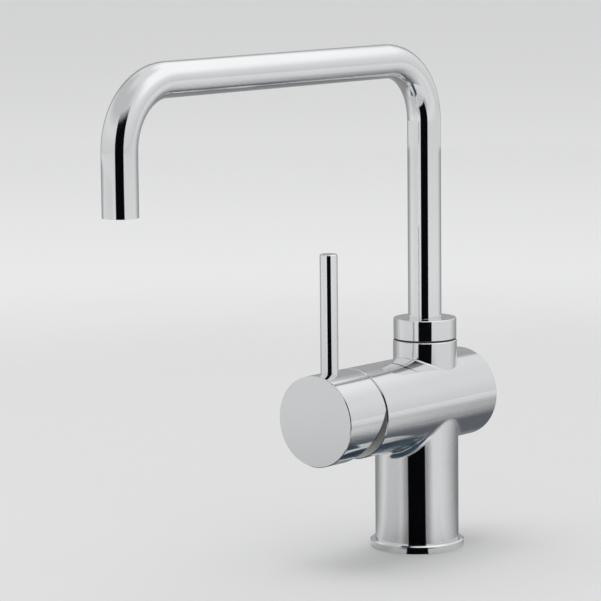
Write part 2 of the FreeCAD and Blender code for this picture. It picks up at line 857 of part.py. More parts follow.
keep("body_casting", body_casting())
keep("base_ring", base_ring())
keep("base_gasket", base_gasket())
keep("base_ring_seal", base_ring_seal())
keep("cartridge_base", cartridge_base())
keep("port_seals", port_seals())
keep("fixed_disc", fixed_disc())
keep("cartridge_housing", cartridge_housing())
keep("cartridge_nut", cartridge_nut())
keep("cover_ring", cover_ring())
keep("cartridge_rotor", cartridge_rotor())
keep("stem_pin", stem_pin())
keep("rotor_seal", rotor_seal())
keep("moving_disc", moving_disc())
keep("disc_carrier", disc_carrier())
keep("cartridge_stem", cartridge_stem())
keep("handle_hub", handle_hub())
keep("lever_rod", lever_rod())
keep("hub_grub_screw", hub_grub_screw())
keep("spout_tube", spout_tube())
keep("spout_collar", spout_collar())
keep("spout_nipple", spout_nipple())
keep("spout_o_rings", spout_o_rings())
upper_ring_bottom, lower_ring_bottom = slide_ring_heights()
keep("upper_slide_ring", slide_ring(upper_ring_bottom))
keep("lower_slide_ring", slide_ring(lower_ring_bottom))
keep("swivel_washer", swivel_washer())
keep("spout_grub_screw", spout_grub_screw())
keep("outlet_sleeve", outlet_sleeve())
keep("aerator_housing", aerator_housing())
keep("aerator_screen", aerator_screen())
keep("aerator_insert", aerator_insert())
keep("aerator_washer", aerator_washer())
print("nodes", len(made_nodes))
print("disc travel %.4f mm, %.6f m per radian" % (
    disc_travel, disc_travel / 1000.0 / math.radians(tilt_range)))
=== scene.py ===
import math

import bmesh
import bpy
from mathutils import Matrix, Vector


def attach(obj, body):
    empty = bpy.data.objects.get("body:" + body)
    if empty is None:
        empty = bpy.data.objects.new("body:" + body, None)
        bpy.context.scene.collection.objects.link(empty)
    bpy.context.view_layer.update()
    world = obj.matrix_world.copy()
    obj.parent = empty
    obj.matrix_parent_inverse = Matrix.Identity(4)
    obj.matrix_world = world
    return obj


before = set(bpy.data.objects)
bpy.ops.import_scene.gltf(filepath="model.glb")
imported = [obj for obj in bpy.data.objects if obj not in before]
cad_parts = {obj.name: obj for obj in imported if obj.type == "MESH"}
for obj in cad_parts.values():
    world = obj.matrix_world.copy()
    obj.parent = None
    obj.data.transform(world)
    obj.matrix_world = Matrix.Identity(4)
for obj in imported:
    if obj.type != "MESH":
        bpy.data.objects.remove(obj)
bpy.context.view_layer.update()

# Camera
# The tap is seen from the front right of its handle and from a little above, through a long
# lens, so that its upright pieces stay almost parallel. The angles are the photograph's.
camera_place = Vector((1.31512, 1.01629, 0.35963))
camera_heading = math.radians(129.834)
camera_drop = math.radians(7.723)
camera_roll = math.radians(-0.564)
camera_data = bpy.data.cameras.new("camera")
camera_data.sensor_width = 36.0
camera_data.lens = 186.85
camera_data.clip_end = 60.0
camera = bpy.data.objects.new("camera", camera_data)
camera.matrix_world = (
    Matrix.Translation(camera_place)
    @ Matrix.Rotation(camera_heading, 4, "Z")
    @ Matrix.Rotation(math.pi / 2.0 - camera_drop, 4, "X")
    @ Matrix.Rotation(camera_roll, 4, "Z"))
bpy.context.scene.collection.objects.link(camera)
bpy.context.scene.camera = camera
bpy.context.scene.view_settings.view_transform = "Standard"

# Studio
# A wide matt floor in pale grey under an even pale sky, its paper painted darker round the tap as
# shade. Black, grey and blue-grey cards stand and lie round the tap and a lit cloth hangs over its
# arm, as they are placed where bright metal is photographed. Only the metal sees them, and their
# edges fade out. The slate and blue-grey ribs are a painted shadow of the tap on the floor, and
# the lit cloth is a painted highlight.
world = bpy.data.worlds.new("pale_sky")
world.use_nodes = True
sky_tree = world.node_tree
sky = sky_tree.nodes["Background"]
sky_place = sky_tree.nodes.new("ShaderNodeTexCoord")
sky_split = sky_tree.nodes.new("ShaderNodeSeparateXYZ")
sky_tone = sky_tree.nodes.new("ShaderNodeValToRGB")
sky_tone.color_ramp.interpolation = "EASE"
sky_tone.color_ramp.elements[0].color = (0.70, 0.702, 0.70, 1.0)
sky_tone.color_ramp.elements[1].position = 0.38
sky_tone.color_ramp.elements[1].color = (0.775, 0.78, 0.785, 1.0)
sky_tree.links.new(sky_place.outputs["Generated"], sky_split.inputs["Vector"])
sky_tree.links.new(sky_split.outputs["Z"], sky_tone.inputs["Fac"])
sky_tree.links.new(sky_tone.outputs["Color"], sky.inputs["Color"])
sky.inputs["Strength"].default_value = 1.0
bpy.context.scene.world = world


def staged(name, points, faces, material):
    mesh = bpy.data.meshes.new(name)
    mesh.from_pydata(points, [], faces)
    mesh.materials.append(material)
    thing = bpy.data.objects.new(name, mesh)
    bpy.context.scene.collection.objects.link(thing)
    return thing


def floor_material():
    # Matt paper with a faint mottle. Its colour is painted shade: darker round the tap and a
    # little paler away from it.
    material = bpy.data.materials.new("pale_floor")
    material.use_nodes = True
    tree = material.node_tree
    shader = tree.nodes["Principled BSDF"]
    place = tree.nodes.new("ShaderNodeTexCoord")
    far = tree.nodes.new("ShaderNodeVectorMath")
    far.operation = "LENGTH"
    mottle = tree.nodes.new("ShaderNodeTexNoise")
    mottle.inputs["Scale"].default_value = 9.0
    mottle.inputs["Detail"].default_value = 3.0
    stir = tree.nodes.new("ShaderNodeMath")
    stir.operation = "MULTIPLY_ADD"
    stir.inputs[1].default_value = 0.06
    tone = tree.nodes.new("ShaderNodeValToRGB")
    tone.color_ramp.interpolation = "EASE"
    tone.color_ramp.elements[0].position = 0.40
    tone.color_ramp.elements[0].color = (0.715, 0.715, 0.71, 1.0)
    tone.color_ramp.elements[1].position = 0.78
    tone.color_ramp.elements[1].color = (0.83, 0.83, 0.825, 1.0)
    shrink = tree.nodes.new("ShaderNodeMath")
    shrink.operation = "MULTIPLY"
    shrink.inputs[1].default_value = 0.6
    tree.links.new(place.outputs["Object"], mottle.inputs["Vector"])
    tree.links.new(place.outputs["Object"], far.inputs[0])
    tree.links.new(far.outputs["Value"], shrink.inputs[0])
    tree.links.new(mottle.outputs["Fac"], stir.inputs[0])
    tree.links.new(shrink.outputs[0], stir.inputs[2])
    tree.links.new(stir.outputs[0], tone.inputs["Fac"])
    tree.links.new(tone.outputs["Color"], shader.inputs["Base Color"])
    shader.inputs["Roughness"].default_value = 0.85
    shader.inputs["Specular IOR Level"].default_value = 0.15
    return material


floor_reach = 16.0
staged("floor", [(-floor_reach, -floor_reach, 0), (floor_reach, -floor_reach, 0),
                 (floor_reach, floor_reach, 0), (-floor_reach, floor_reach, 0)],
       [(0, 1, 2, 3)], floor_material())


def card_material(name, colour, glow=0.0, from_above=False):
    # Matt paper, or a lit cloth, that turns clear where the card's fade value drops to nought.
    # A card that shows from above alone is clear from below.
    material = bpy.data.materials.new(name)
    material.use_nodes = True
    tree = material.node_tree
    tree.nodes.remove(tree.nodes["Principled BSDF"])
    fade = tree.nodes.new("ShaderNodeAttribute")
    fade.attribute_name = "fade"
    cover = fade.outputs["Fac"]
    if from_above:
        side = tree.nodes.new("ShaderNodeNewGeometry")
        shown = tree.nodes.new("ShaderNodeMath")
        shown.operation = "MULTIPLY"
        tree.links.new(cover, shown.inputs[0])
        tree.links.new(side.outputs["Backfacing"], shown.inputs[1])
        cover = shown.outputs[0]
    paper = tree.nodes.new("ShaderNodeEmission" if glow else "ShaderNodeBsdfDiffuse")
    paper.inputs["Color"].default_value = colour
    if glow:
        paper.inputs["Strength"].default_value = glow
    clear = tree.nodes.new("ShaderNodeBsdfTransparent")
    mix = tree.nodes.new("ShaderNodeMixShader")
    tree.links.new(cover, mix.inputs["Fac"])
    tree.links.new(clear.outputs["BSDF"], mix.inputs[1])
    tree.links.new(paper.outputs[0], mix.inputs[2])
    tree.links.new(mix.outputs["Shader"], tree.nodes["Material Output"].inputs["Surface"])
    return material


def soft_card(name, rows, fades, material, in_pairs=False):
    # A sheet through rows of points, with one fade value for each point. In pairs, each two
    # rows make a strip of their own.
    wide = len(rows[0])
    points = [point for row in rows for point in row]
    faces = [(i * wide + j, i * wide + j + 1, (i + 1) * wide + j + 1, (i + 1) * wide + j)
             for i in range(0, len(rows) - 1, 2 if in_pairs else 1) for j in range(wide - 1)]
    card = staged(name, points, faces, material)
    values = card.data.attributes.new("fade", "FLOAT", "POINT")
    for index, value in enumerate(value for row in fades for value in row):
        values.data[index].value = value
    card.visible_camera = False
    card.visible_diffuse = False
    card.visible_shadow = False


def ramp(value, start, end):
    share = min(1.0, max(0.0, (value - start) / (end - start)))
    return share * share * (3.0 - 2.0 * share)


def ring_card(name, rings, angles, fade, material, in_pairs=False):
    # A sheet in rings round the column, each with its reach and height. The fade is a function
    # of the angle and the reach.
    rows, fades = [], []
    for reach, height in rings:
        turns = [math.radians(angle) for angle in angles]
        rows.append([(reach * math.cos(turn), reach * math.sin(turn), height) for turn in turns])
        fades.append([fade(angle, reach) for angle in angles])
    soft_card(name, rows, fades, material, in_pairs)


# The black card lies on the floor towards the camera and then stands upright. Close to the tap
# it is a row of low fins, which hide the floor from a level view and show it from above. Its
# rows stand closest at the column, and their gaps grow as a share of the reach.
column_radius, gap_share = 0.0225, 0.012
front_heading = 38.2
front_core, front_edge, front_feather, front_shoulder = 23.5, 26.0, 50.0, 0.52
front_angles = [-front_feather + 1.0 * step for step in range(int(2 * front_feather) + 1)]
core_fade = [1.0 - ramp(abs(angle), front_core, front_edge) for angle in front_angles]
skirt_fade = [front_shoulder * (1.0 - ramp(abs(angle), front_edge, front_feather))
              for angle in front_angles]
fins_start, fins_reach, skirt_start = 0.0008, 0.31, 0.015
fin_gap, fin_foot, fin_rise = 0.0006, -0.0005, 0.24
front_lie, front_wall = 0.0008, 2.2


def front_row(reach, height):
    # A row that fans out from the column's rim.
    row = []
    for angle in front_angles:
        turn = math.radians(front_heading + angle)
        foot = math.radians(front_heading + angle / 2.0)
        row.append((column_radius * math.cos(foot) + reach * math.cos(turn),
                    column_radius * math.sin(foot) + reach * math.sin(turn), height))
    return row


def front_fade(skirt):
    return [max(core, skirt * edge) for core, edge in zip(core_fade, skirt_fade)]


card_black = card_material("card_black", (0.003, 0.003, 0.004, 1.0))
fin_rows, fin_fades = [], []
reach = fins_start
while reach < fins_reach:
    gap = fin_gap + gap_share * reach
    fin_rows += [front_row(reach, fin_foot), front_row(reach, fin_rise * gap)]
    fin_fades += [front_fade(0.0 if reach < skirt_start else 1.0)] * 2
    reach += gap
soft_card("card_fins", fin_rows, fin_fades, card_black, in_pairs=True)
soft_card("card_front",
          [front_row(reach, height) for reach, height in (
              (fins_reach, front_lie), (0.45, front_lie), (0.75, front_lie),
              (front_wall, front_lie), (front_wall, 1.4), (front_wall, 2.2))],
          [front_fade(1.0), front_fade(0.7), front_fade(0.0), front_fade(0.0), front_fade(0.0),
           [0.0] * len(front_angles)], card_black)


# A grey card on the floor shades the edges of every upright piece. It goes round the back of
# the tap from the right to the left, and thins out far away and towards the front.
def near_shade(angle):
    right = ramp(angle, 100.0, 186.0)
    left = 1.0 - ramp(angle, 255.0, 306.0)
    return (0.91 - 0.11 * ramp(angle, 195.0, 240.0)) * right * left


def floor_shade(angle, reach):
    far = 0.7 * ramp(angle, 136.0, 190.0) * (1.0 - ramp(angle, 255.0, 306.0))
    front = ramp(angle, 294.0, 320.0) * (1.0 - ramp(angle, 346.0, 366.0))
    away = ramp(reach, 0.28, 0.60)
    return (near_shade(angle) + 0.30 * front) * (1.0 - away) + (far + 0.12 * front) * away


card_grey = card_material("card_grey", (0.15, 0.155, 0.16, 1.0))
ring_card("card_floor", [(reach, 0.0001) for reach in (
    0.0255, 0.06, 0.12, 0.2, 0.28, 0.36, 0.44, 0.52, 0.6, 1.5, 2.5)],
    range(92, 369, 4), floor_shade, card_grey)


def wall_shade(angle, height):
    across = ramp(angle, 190.0, 197.0) * (1.0 - ramp(angle, 250.0, 270.0))
    return 0.58 * across * (1.0 - ramp(height, 1.9, 2.1))


wall_reach, wall_angles = 2.5, range(186, 271, 3)
wall_turns = [math.radians(angle) for angle in wall_angles]
wall_rows, wall_fades = [], []
for height in (0.0, 0.5, 1.0, 1.5, 1.9, 2.1):
    wall_rows.append([(wall_reach * math.cos(turn), wall_reach * math.sin(turn), height)
                      for turn in wall_turns])
    wall_fades.append([wall_shade(angle, height) for angle in wall_angles])
soft_card("card_wall", wall_rows, wall_fades, card_grey)


# Fine ribs lie in rings round the column, each halfway over the next. They slope down away from
# it and show from above alone. The barrel and the handle's hub look down on them steeply and
# see them, the column and the other upright pieces look along them and don't.
def rib_card(name, slope, foot, reaches, angles, shade, material):
    rings = []
    reach = reaches[0]
    while reach < reaches[1]:
        gap = gap_share * reach
        rings += [(reach, foot + 2.0 * slope * gap), (reach + 2.0 * gap, foot)]
        reach += gap
    ring_card(name, rings, angles, shade, material, in_pairs=True)


pale_tone, slate_tone = 0.61, 0.11


def slate_shade(angle, reach):
    # Behind the tap the ribs are a painted shadow of the barrel on the floor, seen only in the
    # metal: the floor they show darkens towards the plane of the barrel.
    aside = reach * math.sin(math.radians(angle))
    bare = pale_tone - (pale_tone - slate_tone) * near_shade(angle)
    wanted = pale_tone * (1.0 - math.exp((0.03 - aside) / 0.12))
    cover = min(1.0, max(0.0, (bare - wanted) / (bare - slate_tone)))
    inner = 0.046 + 0.014 * ramp(angle, 105.0, 138.0)
    outer = 0.26 - 0.11 * ramp(angle, 158.0, 170.0)
    return (cover * ramp(angle, 97.0, 101.0) * (1.0 - ramp(angle, 186.0, 200.0))
            * ramp(reach, inner - 0.002, inner + 0.004)
            * (1.0 - ramp(reach, outer, outer + 0.06)))


def blue_shade(angle, reach):
    # Round the front the ribs are blue-grey. They are a painted shadow: the tap's dark pool on the
    # floor round its foot and under the hub, seen only in the metal.
    outer = 0.130 - 0.042 * ramp(angle, 30.0, 76.0)
    return (ramp(angle, -46.0, -38.0) * (1.0 - ramp(angle, 97.0, 101.0))
            * ramp(reach, 0.028, 0.032) * (1.0 - ramp(reach, outer, outer + 0.006)))


rib_card("card_slate", slope=0.33, foot=0.0004, reaches=(0.043, 0.32),
         angles=range(97, 201, 2), shade=slate_shade,
         material=card_material("card_slate", (0.12, 0.13, 0.145, 1.0), from_above=True))
rib_card("card_blue", slope=0.40, foot=0.0008, reaches=(0.028, 0.138),
         angles=range(-46, 102, 3), shade=blue_shade,
         material=card_material("card_blue", (0.052, 0.080, 0.105, 1.0), from_above=True))
arm_middle, arm_height, dome_radius = 0.11, 0.263, 0.65


def dome_card(name, angles, rises, fade, material):
    # A sheet on a dome round the arm.
    rows, fades = [], []
    for rise in rises:
        lift = math.radians(rise)
        turns = [math.radians(angle) for angle in angles]
        rows.append([(arm_middle + dome_radius * math.cos(lift) * math.cos(turn),
                      dome_radius * math.cos(lift) * math.sin(turn),
                      arm_height + dome_radius * math.sin(lift)) for turn in turns])
        fades.append([fade(angle, rise) for angle in angles])
    soft_card(name, rows, fades, material)


# A lit cloth hangs behind and above the arm, and a thin grey one over the camera's side. The lit
# cloth glows by itself and only the metal sees it: a painted highlight on the arm's top and bend.
def glow(angle, rise):
    return (ramp(angle, 66.0, 104.0) * (1.0 - ramp(angle, 205.0, 235.0))
            * ramp(rise, 14.0, 38.0) * (1.0 - ramp(rise, 62.0, 78.0)))


def dim(angle, rise):
    return (0.32 * ramp(angle, -112.0, -80.0) * (1.0 - ramp(angle, 30.0, 80.0))
            * ramp(rise, 16.0, 34.0) * (1.0 - ramp(rise, 56.0, 80.0)))


dome_card("card_glow", range(65, 251, 5), (14, 20, 26, 32, 38, 46, 54, 62, 68, 74, 80), glow,
          card_material("lit_cloth", (1.0, 1.0, 1.0, 1.0), glow=1.07))
dome_card("card_dim", range(-115, 81, 5), (14, 20, 26, 34, 46, 60, 75, 89), dim, card_grey)


def soft_box(name, place, aim, width, height, power):
    data = bpy.data.lights.new(name, "AREA")
    data.shape = "RECTANGLE"
    data.size = width
    data.size_y = height
    data.energy = power
    lamp = bpy.data.objects.new(name, data)
    lamp.location = place
    lamp.rotation_euler = (Vector(aim) - Vector(place)).to_track_quat("-Z", "Y").to_euler()
    lamp.visible_camera = False
    lamp.visible_glossy = False
    bpy.context.scene.collection.objects.link(lamp)


soft_box("top_box", place=(0.3, -0.4, 3.0), aim=(0.05, 0.0, 0.1), width=2.0, height=2.0,
         power=30.0)


# Body casting
# One brass casting makes the column, the lying barrel and the socket for the spout. It is
# ground, buffed and plated with bright nickel and chrome. The faces cut after plating stay
# satin, and the bores and the hose recess stay bare brass, as cast or turned.
def shader_group(name, inputs, outputs):
    group = bpy.data.node_groups.new(name, "ShaderNodeTree")
    for socket_name, kind, value in inputs:
        socket = group.interface.new_socket(
            name=socket_name, in_out="INPUT", socket_type="NodeSocket" + kind)
        socket.default_value = value
    for socket_name, kind in outputs:
        group.interface.new_socket(
            name=socket_name, in_out="OUTPUT", socket_type="NodeSocket" + kind)
    return group, group.nodes.new("NodeGroupInput"), group.nodes.new("NodeGroupOutput")


def math_node(tree, operation, first, second=None, third=None):
    # One sum. Each value is a number or the socket that gives it.
    node = tree.nodes.new("ShaderNodeMath")
    node.operation = operation
    for index, value in enumerate((first, second, third)):
        if value is None:
            continue
        if isinstance(value, (int, float)):
            node.inputs[index].default_value = value
        else:
            tree.links.new(value, node.inputs[index])
    return node.outputs[0]


def noise_node(tree, place, scale, detail, roughness=0.5):
    node = tree.nodes.new("ShaderNodeTexNoise")
    node.inputs["Detail"].default_value = detail
    node.inputs["Roughness"].default_value = roughness
    tree.links.new(place, node.inputs["Vector"])
    if isinstance(scale, (int, float)):
        node.inputs["Scale"].default_value = scale
    else:
        tree.links.new(scale, node.inputs["Scale"])
    return node.outputs["Fac"]


def colour_between(tree, share, low, high):
    # A colour that runs from low to high as share goes from 0.3 to 0.7.
    tone = tree.nodes.new("ShaderNodeValToRGB")
    tone.color_ramp.elements[0].position = 0.3
    tone.color_ramp.elements[1].position = 0.7
    tone.color_ramp.elements[0].color = low + (1.0,)
    tone.color_ramp.elements[1].color = high + (1.0,)
    tree.links.new(share, tone.inputs["Fac"])
    return tone.outputs["Color"]


def buffed_group():
    # Faint waves from the buffing wheel, and a thin haze of roughness.
    group, given, made = shader_group(
        "buffed_surface",
        [("Scale", "Float", 40.0), ("Haze", "Float", 0.02), ("Base Roughness", "Float", 0.04),
         ("Wave", "Float", 0.3)],
        [("Roughness", "Float"), ("Height", "Float")])
    place = group.nodes.new("ShaderNodeTexCoord").outputs["Object"]
    haze = noise_node(group, place, given.outputs["Scale"], 5.0, 0.6)
    wave = noise_node(group, place, given.outputs["Scale"], 1.0)
    group.links.new(
        math_node(group, "MULTIPLY_ADD", haze, given.outputs["Haze"],
                  given.outputs["Base Roughness"]), made.inputs["Roughness"])
    group.links.new(math_node(group, "MULTIPLY", wave, given.outputs["Wave"]),
                    made.inputs["Height"])
    return group


def lathe_group():
    # Fine tool lines that follow one coordinate, such as the distance along a turned piece.
    group, given, made = shader_group(
        "lathe_marks",
        [("Across", "Float", 0.0), ("Lines", "Float", 4000.0), ("Base Roughness", "Float", 0.3),
         ("Spread", "Float", 0.15)],
        [("Roughness", "Float"), ("Height", "Float")])
    line = group.nodes.new("ShaderNodeTexNoise")
    line.noise_dimensions = "1D"
    line.inputs["Detail"].default_value = 2.0
    group.links.new(
        math_node(group, "MULTIPLY", given.outputs["Across"], given.outputs["Lines"]),
        line.inputs["W"])
    group.links.new(line.outputs["Fac"], made.inputs["Height"])
    group.links.new(
        math_node(group, "MULTIPLY_ADD", line.outputs["Fac"], given.outputs["Spread"],
                  given.outputs["Base Roughness"]), made.inputs["Roughness"])
    return group


buffed_surface = buffed_group()
lathe_marks = lathe_group()


def start_material(name, metallic):
    material = bpy.data.materials.new(name)
    material.use_nodes = True
    tree = material.node_tree
    shader = tree.nodes["Principled BSDF"]
    shader.inputs["Metallic"].default_value = metallic
    place = tree.nodes.new("ShaderNodeTexCoord").outputs["Object"]
    return material, tree, shader, place


def use_group(tree, group, **values):
    node = tree.nodes.new("ShaderNodeGroup")
    node.node_tree = group
    for name, value in values.items():
        socket = node.inputs[name.replace("_", " ")]
        if isinstance(value, (int, float)):
            socket.default_value = value
        else:
            tree.links.new(value, socket)
    return node.outputs


def raise_bump(tree, shader, height, distance):
    bump = tree.nodes.new("ShaderNodeBump")
    bump.inputs["Strength"].default_value = 1.0
    bump.inputs["Distance"].default_value = distance
    tree.links.new(height, bump.inputs["Height"])
    tree.links.new(bump.outputs["Normal"], shader.inputs["Normal"])


def blend_value(tree, share, low, high):
    node = tree.nodes.new("ShaderNodeMix")
    tree.links.new(share, node.inputs["Factor"])
    for value, index in ((low, 2), (high, 3)):
        if isinstance(value, (int, float)):
            node.inputs[index].default_value = value
        else:
            tree.links.new(value, node.inputs[index])
    return node.outputs[0]


def blend_colour(tree, share, low, high):
    node = tree.nodes.new("ShaderNodeMix")
    node.data_type = "RGBA"
    tree.links.new(share, node.inputs["Factor"])
    tree.links.new(low, node.inputs[6])
    tree.links.new(high, node.inputs[7])
    return node.outputs[2]


def distance_from(tree, place, axis, centre):
    # How far a point is from a line along x or z through the centre.
    shift = tree.nodes.new("ShaderNodeVectorMath")
    shift.operation = "SUBTRACT"
    shift.inputs[1].default_value = centre
    flat = tree.nodes.new("ShaderNodeVectorMath")
    flat.operation = "MULTIPLY"
    flat.inputs[1].default_value = (0.0, 1.0, 1.0) if axis == "X" else (1.0, 1.0, 0.0)
    length = tree.nodes.new("ShaderNodeVectorMath")
    length.operation = "LENGTH"
    tree.links.new(place, shift.inputs[0])
    tree.links.new(shift.outputs["Vector"], flat.inputs[0])
    tree.links.new(flat.outputs["Vector"], length.inputs[0])
    return length.outputs["Value"]


def split_place(tree, place):
    split = tree.nodes.new("ShaderNodeSeparateXYZ")
    tree.links.new(place, split.inputs["Vector"])
    return split.outputs


def edge_step(tree, value, start, end):
    # Goes from 0 to 1 as value goes from start to end.
    node = tree.nodes.new("ShaderNodeMapRange")
    node.interpolation_type = "SMOOTHSTEP"
    node.inputs["From Min"].default_value = start
    node.inputs["From Max"].default_value = end
    tree.links.new(value, node.inputs["Value"])
    return node.outputs["Result"]


chrome_low, chrome_high = (0.815, 0.825, 0.835), (0.84, 0.85, 0.86)
satin_low, satin_high = (0.75, 0.74, 0.715), (0.82, 0.81, 0.785)
brass_low, brass_high = (0.62, 0.44, 0.19), (0.76, 0.58, 0.30)
barrel_height = 0.0797
column_bore = 0.0196
barrel_face = 0.0554
chamber_radius, chamber_floor = 0.0195, 0.0235
socket_axis, socket_bore, socket_floor = -0.0078, 0.01305, 0.0915


def body_chrome():
    material, tree, shader, place = start_material("cast_chrome", 1.0)
    parts = split_place(tree, place)
    plate = use_group(tree, buffed_surface, Scale=55.0, Haze=0.03, Base_Roughness=0.03, Wave=0.05)
    tint = noise_node(tree, place, 14.0, 2.0)
    chrome = colour_between(tree, tint, chrome_low, chrome_high)

    # Faces cut square across the barrel's mouth.
    from_barrel = distance_from(tree, place, "X", (0.0, 0.0, barrel_height))
    cut = use_group(tree, lathe_marks, Across=from_barrel, Lines=5200.0, Base_Roughness=0.42,
                    Spread=0.16)
    face = edge_step(tree, parts["X"], barrel_face - 0.00009, barrel_face - 0.00003)
    satin = colour_between(tree, tint, satin_low, satin_high)
    colour = blend_colour(tree, face, chrome, satin)
    rough = blend_value(tree, face, plate["Roughness"], cut["Roughness"])
    height = blend_value(
        tree, face, plate["Height"], math_node(tree, "MULTIPLY", cut["Height"], 0.02))

    # Bare brass inside the column's bore up to the barrel's axis, in the cartridge chamber and
    # in the socket.
    from_column = distance_from(tree, place, "Z", (0.0, 0.0, 0.0))
    from_socket = distance_from(tree, place, "Z", (socket_axis, 0.0, 0.0))
    in_recess = math_node(
        tree, "MULTIPLY", math_node(tree, "LESS_THAN", from_column, column_bore),
        math_node(tree, "LESS_THAN", parts["Z"], barrel_height))
    behind_face = math_node(tree, "LESS_THAN", parts["X"], barrel_face - 0.0003)
    in_chamber = math_node(
        tree, "MULTIPLY", math_node(tree, "LESS_THAN", from_barrel, chamber_radius),
        math_node(tree, "MULTIPLY", behind_face,
                  math_node(tree, "GREATER_THAN", parts["X"], chamber_floor)))
    in_socket = math_node(
        tree, "MULTIPLY", math_node(tree, "LESS_THAN", from_socket, socket_bore),
        math_node(tree, "GREATER_THAN", parts["Z"], socket_floor))
    bare = math_node(tree, "MAXIMUM", in_recess, math_node(tree, "MAXIMUM", in_chamber, in_socket))
    grain = noise_node(tree, place, 900.0, 4.0, 0.65)
    brass = colour_between(tree, grain, brass_low, brass_high)
    tree.links.new(blend_colour(tree, bare, colour, brass), shader.inputs["Base Color"])
    brass_rough = math_node(tree, "MULTIPLY_ADD", grain, 0.35, 0.28)
    tree.links.new(blend_value(tree, bare, rough, brass_rough), shader.inputs["Roughness"])
    raise_bump(tree, shader, blend_value(tree, bare, height, grain), 0.0002)
    return material


def dress(nodes, material):
    for node in nodes:
        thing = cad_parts[node]
        if not thing.material_slots:
            thing.data.materials.append(material)
        for place in thing.material_slots:
            place.material = material


dress(["body_casting"], body_chrome())


# Plated pieces
# The base ring, the collar, the handle's hub and its pin lever are turned from brass bar, and
# the spout is bent from drawn tube. All are buffed and plated like the casting.
def chrome_plate(name, scale, wave, along=None):
    material, tree, shader, place = start_material(name, 1.0)
    plate = use_group(tree, buffed_surface, Scale=scale, Haze=0.03, Base_Roughness=0.03, Wave=wave)
    rough, height = plate["Roughness"], plate["Height"]
    if along:
        marks = use_group(tree, lathe_marks, Across=split_place(tree, place)[along],
                          Lines=2600.0, Base_Roughness=0.0, Spread=0.02)
        rough = math_node(tree, "ADD", rough, marks["Roughness"])
        height = math_node(tree, "MULTIPLY_ADD", marks["Height"], 0.004, height)
    tint = noise_node(tree, place, 14.0, 2.0)
    tree.links.new(colour_between(tree, tint, chrome_low, chrome_high),
                   shader.inputs["Base Color"])
    tree.links.new(rough, shader.inputs["Roughness"])
    raise_bump(tree, shader, height, 0.0002)
    return material


dress(["base_ring", "spout_collar", "lever_rod"],
      chrome_plate("turned_chrome", scale=55.0, wave=0.05, along="Z"))
dress(["handle_hub"], chrome_plate("hub_chrome", scale=55.0, wave=0.04, along="X"))
dress(["spout_tube"], chrome_plate("tube_chrome", scale=38.0, wave=0.06))


# Trim ring in the barrel's mouth
# A thin plated ring closes the gap round the cartridge. Its face is turned satin, like the
# barrel's face round it.
def satin_face():
    material, tree, shader, place = start_material("satin_chrome", 1.0)
    from_barrel = distance_from(tree, place, "X", (0.0, 0.0, barrel_height))
    cut = use_group(tree, lathe_marks, Across=from_barrel, Lines=5200.0, Base_Roughness=0.40,
                    Spread=0.16)
    tint = noise_node(tree, place, 60.0, 2.0)
    tree.links.new(colour_between(tree, tint, satin_low, satin_high), shader.inputs["Base Color"])
    tree.links.new(cut["Roughness"], shader.inputs["Roughness"])
    raise_bump(tree, shader, cut["Height"], 0.000004)
    return material


dress(["cover_ring"], satin_face())


# Bare turned metal
# The cartridge nut, the stem, the spout's nipple and the outlet sleeve are turned brass, left
# unplated where water or a seal covers them. The pivot pin and the grub screws are stainless.
def turned_metal(name, low, high, rough, along, lines):
    material, tree, shader, place = start_material(name, 1.0)
    marks = use_group(tree, lathe_marks, Across=split_place(tree, place)[along], Lines=lines,
                      Base_Roughness=rough, Spread=0.18)
    stain = noise_node(tree, place, 260.0, 4.0, 0.6)
    tree.links.new(colour_between(tree, stain, low, high), shader.inputs["Base Color"])
    tree.links.new(math_node(tree, "MULTIPLY_ADD", stain, 0.1, marks["Roughness"]),
                   shader.inputs["Roughness"])
    raise_bump(tree, shader, marks["Height"], 0.000012)
    return material


steel_low, steel_high = (0.50, 0.51, 0.52), (0.62, 0.62, 0.61)
lying_brass = turned_metal("turned_brass_lying", brass_low, brass_high, 0.20, "X", 3200.0)
upright_brass = turned_metal("turned_brass_upright", brass_low, brass_high, 0.20, "Z", 3200.0)
lying_steel = turned_metal("stainless_lying", steel_low, steel_high, 0.22, "X", 6000.0)
upright_steel = turned_metal("stainless_upright", steel_low, steel_high, 0.22, "Z", 6000.0)
dress(["cartridge_nut", "cartridge_stem"], lying_brass)
dress(["spout_nipple", "outlet_sleeve"], upright_brass)
dress(["spout_grub_screw"], lying_steel)
dress(["hub_grub_screw"], upright_steel)
dress(["stem_pin"], turned_metal("stainless_pin", steel_low, steel_high, 0.15, "Y", 6000.0))


# Ceramic discs
# Two pressed and fired alumina discs slide on each other. Their faces are lapped flat and
# almost shine, and their rims keep the dull skin of the kiln.
def lapped_ceramic():
    material, tree, shader, place = start_material("lapped_ceramic", 0.0)
    cloud = noise_node(tree, place, 220.0, 4.0, 0.6)
    speck = noise_node(tree, place, 2400.0, 2.0)
    tree.links.new(colour_between(tree, cloud, (0.86, 0.85, 0.81), (0.92, 0.91, 0.88)),
                   shader.inputs["Base Color"])
    tree.links.new(math_node(tree, "MULTIPLY_ADD", speck, 0.22, 0.18), shader.inputs["Roughness"])
    raise_bump(tree, shader, speck, 0.000008)
    return material


dress(["fixed_disc", "moving_disc"], lapped_ceramic())


# Moulded plastic
# The cartridge's shell, base, rotor and carrier, the slide rings and the aerator are injection
# moulded. The skin has a fine spark-eroded grain and faint flow marks.
def moulded_plastic(name, low, high, rough, grain_scale):
    material, tree, shader, place = start_material(name, 0.0)
    flow = noise_node(tree, place, 130.0, 3.0)
    grain = noise_node(tree, place, grain_scale, 3.0, 0.6)
    tree.links.new(colour_between(tree, flow, low, high), shader.inputs["Base Color"])
    tree.links.new(math_node(tree, "MULTIPLY_ADD", grain, 0.18, rough),
                   shader.inputs["Roughness"])
    raise_bump(tree, shader, grain, 0.00001)
    return material


